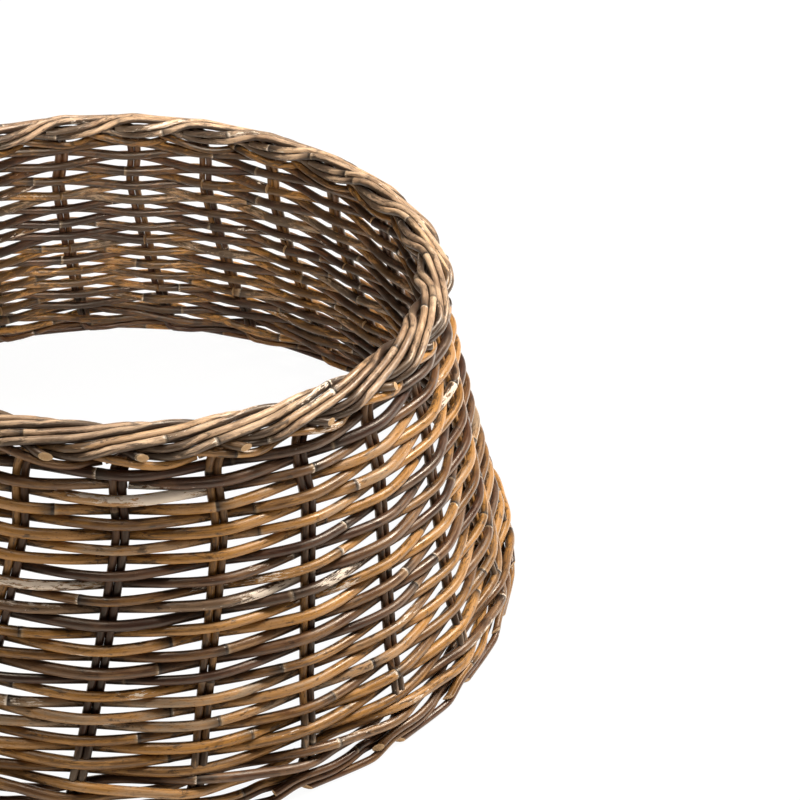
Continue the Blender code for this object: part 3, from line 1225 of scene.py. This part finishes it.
@dataclass
class WeaverRows(Piece):
    """Level rows of single canes, each in front of one pair and behind the next."""

    end_gap: float = 0.0012
    row_start_step: int = 7
    short_length: int = 8
    fullness: float = 1.06
    bedding: float = 0.0017
    straightness: float = 0.84
    shared_level: float = 0.00045
    shared_twist: float = 9.0
    shared_waves: tuple[int, ...] = (2, 3, 5)
    own_level: float = 0.00048
    level_waves: tuple[int, ...] = (7, 11, 12)
    own_swing: float = 0.0002
    swing_waves: tuple[int, ...] = (5, 9, 13)
    tone_shares: tuple[float, ...] = (0.11, 0.24, 0.25, 0.25, 0.10, 0.05)
    plain_share: float = 0.86
    plain_pale: float = 0.05
    worn_pale: float = 0.4
    # A base of real dirt, painted shade where a cane passes behind a pair, and painted shade on its flanks
    # and back.
    front_grime: float = 0.42
    behind_pair_shade: float = 0.4
    flank_shade: float = 0.3

    def lengths(self, row: int) -> list[tuple[int, int]]:
        """Where the canes of a row start and stop, in pitches, always behind a pair.

        Args:
            row: Number of the row.

        Returns:
            Start and stop of each cane.
        """
        first = (self.row_start_step * row) % self.form.pair_count
        first += (first + row + 1) % 2
        middle = first + self.short_length
        return [(first, middle), (middle, first + self.form.pair_count)]

    def canes(self, row: int) -> list[Cane]:
        """The canes of one row.

        A cane's distance from the wall is a wave over every two pairs, nearly straight between them
        and rounded at each, where it beds into the pair a little. Its level wanders a little too,
        partly with all the rows and partly by itself. It carries real dirt all along and painted
        shade where it passes behind the pairs.

        Args:
            row: Number of the row.

        Returns:
            The canes.
        """
        form = self.form
        rng = np.random.default_rng(self.seed + row)
        height = form.row_height(row)
        wall = form.wall_radius(height)
        thick = form.weaver_diameter / 2.0 * self.fullness
        swing = thick + form.stake_diameter / 2.0 - self.bedding
        made = []
        for start, stop in self.lengths(row):
            count = int((stop - start) * form.pitch * wall / self.spacing)
            steps = np.linspace(start, stop, count + 1)
            turns = form.stake_turn(0, height) + steps * form.pitch
            turns[0] += self.end_gap / 2.0 / wall
            turns[-1] -= self.end_gap / 2.0 / wall
            shared = np.random.default_rng(self.seed - 1)
            twisted = turns + height * self.shared_twist
            rise = ring_wander(shared, twisted, self.shared_waves, self.shared_level)
            rise += ring_wander(rng, turns, self.level_waves, self.own_level)
            wave = np.arcsin(self.straightness * np.cos(math.pi * (steps + row)))
            wave = wave / math.asin(self.straightness)
            across = swing * wave + ring_wander(rng, turns, self.swing_waves, self.own_swing)
            centres, normals = form.off_wall(turns, height, across, rise)
            tone = CaneTone.drawn(rng, self.tone_shares)
            pale = self.plain_pale if rng.random() < self.plain_share else self.worn_pale
            # Real dirt all along, plus painted shade where the cane passes behind a pair.
            dirt_and_shade = self.front_grime + self.behind_pair_shade * np.clip(-wave, 0.0, 1.0) ** 2
            made.append(self.habit.grow(rng, centres, normals, thick, tone, pale, dirt_and_shade, self.flank_shade))
        return made

    def build(self) -> None:
        """Make every row."""
        for row in range(self.form.row_count):
            self.finish(f"weaver_canes_{row + 1:02d}", f"weaver_row_{row + 1:02d}", self.canes(row))


@dataclass
class WovenBand(Piece):
    """A band of rods that pass each other between the pairs.

    A row of the lay is a knot: pitches travelled round the collar, and the shares of the whole
    way outwards and upwards.
    """

    label: str = ""
    node_label: str = ""
    rods: int = 2
    height: float = 0.0
    diameter: float = 0.006
    gap: float = 0.001
    lay: tuple[tuple[float, float, float], ...] = ()
    end_slack: float = 0.0006
    tones: tuple[CaneTone, ...] = (CaneTone.OLIVE, CaneTone.HONEY, CaneTone.UMBER)
    pale: float = 0.08
    # A base of real dirt, and painted shade on the band's flanks and back.
    dirt_and_shade: float = 0.45
    flank_shade: float = 0.3

    def cane(self, rod: int) -> Cane:
        """One rod of the band, once round the collar.

        Args:
            rod: Number of the rod.

        Returns:
            The cane.
        """
        form = self.form
        rng = np.random.default_rng(self.seed + rod)
        table = np.array(self.lay)
        rounds = np.arange(-1, form.pair_count // self.rods + 1) * self.rods
        steps = rod + (rounds[:, None] + table[None, :, 0]).ravel()
        across = np.tile(table[:, 1], len(rounds)) * (self.diameter + form.stake_diameter) / 2.0
        rise = np.tile(table[:, 2], len(rounds)) * (self.diameter + self.gap) / 2.0
        turns = form.stake_turn(0, self.height) + steps * form.pitch
        knots = np.column_stack([*form.off_wall(turns, self.height, across, rise), turns])
        line = smooth_through(knots, self.spacing)
        start = form.stake_turn(0, self.height) + (rod + table[0, 0]) * form.pitch
        slack = self.end_slack / form.wall_radius(self.height)
        line = line[(line[:, 6] > start + slack) & (line[:, 6] < start + TAU - slack)]
        return self.habit.grow(
            rng, line[:, :3], line[:, 3:6], self.diameter / 2.0, self.tones[rod],
            self.pale, self.dirt_and_shade, self.flank_shade,
        )

    def build(self) -> None:
        """Make every rod of the band."""
        for rod in range(self.rods):
            self.finish(f"{self.label}_{rod + 1}", f"{self.node_label}_{rod + 1}", [self.cane(rod)])


@dataclass(frozen=True)
class SoftLamp:
    """A square soft lamp: its place, side, power in watts, aim and beam in degrees."""

    name: str
    place: Place
    size: float
    power: float
    aim: Place = (0.0, 0.0, 0.13)
    beam: float = 180.0

    def build(self, colour: Colour) -> None:
        """Hang the lamp, with its back away from its aim.

        Args:
            colour: Colour of its light.
        """
        data = bpy.data.lights.new(self.name, "AREA")
        data.shape = "SQUARE"
        data.size = self.size
        data.energy = self.power
        data.color = colour
        data.spread = math.radians(self.beam)
        back = unit(np.array(self.place) - np.array(self.aim))
        side = unit(np.cross(np.array([0.0, 0.0, 1.0]), back))
        turn_to(placed(self.name, data), [side, np.cross(back, side), back], self.place)


@dataclass(frozen=True)
class Studio:
    """Floor, light and camera."""

    image_pixels: float = 800.0
    focal_pixels: float = 1707.46
    sensor: float = 36.0
    elevation: float = math.radians(34.548)
    distance: float = 1.34317
    yaw: float = math.radians(10.945)
    pitch: float = math.radians(-0.334)
    roll: float = math.radians(5.446)
    aim_height: float = 0.13225
    clip: Span = (0.05, 50.0)
    warmth: Colour = (1.0, 0.94, 0.86)
    white: Colour = (1.0, 1.0, 1.0)
    even_light: float = 0.12
    floor_half: float = 14.0
    paper: Colour = (0.90, 0.89, 0.87)
    paper_roughness: float = 0.9
    paper_light: float = 0.30
    glow_share: float = 0.95
    lamps: tuple[SoftLamp, ...] = (
        SoftLamp("key_lamp", (1.5, 0.5, 2.2), 0.7, 132.0),
        SoftLamp("top_lamp", (-0.5, 0.2, 2.8), 0.8, 36.0),
        SoftLamp("well_lamp", (0.1, -0.55, 0.78), 0.2, 0.55, (-0.02, 0.26, 0.16), 42.0),
    )

    def camera(self) -> None:
        """Put the camera at the photograph's place.

        It stands out along -Y and looks towards the collar's middle, then turns right by the yaw,
        up by the pitch and round its own line of sight by the roll.
        """
        out, up = math.cos(self.elevation), math.sin(self.elevation)
        eye = np.array([0.0, -self.distance * out, self.aim_height + self.distance * up])
        sight = self.elevation + self.pitch
        forward = np.array([
            math.sin(self.yaw) * math.cos(sight),
            math.cos(self.yaw) * math.cos(sight),
            -math.sin(sight),
        ])
        right = np.array([math.cos(self.yaw), -math.sin(self.yaw), 0.0])
        over = np.cross(right, forward)
        cos, sin = math.cos(self.roll), math.sin(self.roll)
        data = bpy.data.cameras.new("studio_camera")
        data.sensor_width = self.sensor
        data.lens = self.focal_pixels / self.image_pixels * self.sensor
        data.clip_start, data.clip_end = self.clip
        camera = placed("studio_camera", data)
        turn_to(camera, [cos * right + sin * over, cos * over - sin * right, -forward], eye)
        bpy.context.scene.camera = camera

    @staticmethod
    def seen(graph: Graph) -> Socket:
        """1 for rays straight from the camera."""
        return graph.node("LightPath").outputs["Is Camera Ray"]

    def world(self) -> None:
        """White where the camera sees it, and a weak even light elsewhere."""
        world = bpy.data.worlds.new("studio_world")
        bpy.context.scene.world = world
        world.use_nodes = True
        graph = Graph(world.node_tree)
        strength = graph.total(((self.seen(graph), 1.0 - self.even_light),), self.even_light)
        colour = graph.mix(self.seen(graph), (*self.warmth, 1.0), (*self.white, 1.0))
        light = graph.node("Background", {"Color": colour, "Strength": strength})
        graph.node("OutputWorld", {"Surface": light.outputs[0]})

    def floor(self) -> None:
        """A wide pale floor that keeps a soft shadow."""
        mesh = bpy.data.meshes.new("studio_floor")
        half = self.floor_half
        points = [(-half, -half, 0.0), (half, -half, 0.0), (half, half, 0.0), (-half, half, 0.0)]
        mesh.from_pydata(points, [], [(0, 1, 2, 3)])
        graph, made = Graph.dressed("floor_paper")
        paper = graph.node("BsdfPrincipled", {
            "Base Color": (*self.paper, 1.0), "Roughness": self.paper_roughness,
            "Emission Color": (*self.warmth, 1.0), "Emission Strength": self.paper_light,
        })
        glow = graph.node("Emission", {"Color": (*self.white, 1.0), "Strength": 1.0})
        share = graph.math("MULTIPLY", self.seen(graph), self.glow_share)
        both = graph.node("MixShader", {0: share, 1: paper.outputs[0], 2: glow.outputs[0]})
        graph.node("OutputMaterial", {"Surface": both.outputs[0]})
        mesh.materials.append(made)
        placed("studio_floor", mesh)

    def build(self) -> None:
        """Make the studio."""
        self.camera()
        self.world()
        self.floor()
        for lamp in self.lamps:
            lamp.build(self.warmth)
        bpy.context.scene.view_settings.view_transform = "Standard"


def main() -> None:
    """Build the collar piece by piece, then the studio."""
    logging.basicConfig(level=logging.INFO, format="%(name)s: %(message)s")
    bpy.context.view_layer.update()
    form = CollarForm()
    effects = BarkEffects()
    pith = PithFinish().material()
    weaver_bark = BarkFinish("weaver_bark", BARK_RAMP).material(effects)
    stake_finish = BarkFinish("stake_bark", BARK_RAMP, weathered=(0.58, 0.41, 0.27), flake_amount=0.4)
    stake_bark = stake_finish.material(effects)
    band_bark = BarkFinish("band_bark", BARK_RAMP).material(effects)
    stake_habit = CaneHabit(thickness_spread=0.03)
    weaver_habit = CaneHabit(thickness_spread=0.11)
    StakePairs(form, stake_bark, pith, "stake_cane", 100, habit=stake_habit).build()
    WeaverRows(form, weaver_bark, pith, "weaver_cane", 300, habit=weaver_habit).build()
    WovenBand(
        form, band_bark, pith, "band_cane", 500, label="wale_cane", node_label="foot_wale_rod", rods=3,
        height=form.wale_height, diameter=form.wale_diameter, gap=form.wale_gap,
        lay=((2.0, -1.0, 0.0), (2.3, -0.7, 1.0), (2.7, 0.0, 1.0), (3.0, 1.0, 1.0),
             (3.5, 1.0, 0.0), (4.0, 1.0, -1.0), (4.3, 0.0, -1.0), (4.7, -0.7, -1.0)),
    ).build()
    WovenBand(
        form, band_bark, pith, "band_cane", 600, label="twine_cane", node_label="rim_twine_rod", rods=2,
        height=form.twine_height, diameter=form.twine_diameter, gap=form.twine_gap,
        lay=((0.7, -1.0, -1.0), (1.3, -1.0, 1.0), (1.7, 1.0, 1.0), (2.3, 1.0, -1.0)),
    ).build()
    Studio().build()


if __name__ == "__main__":
    main()
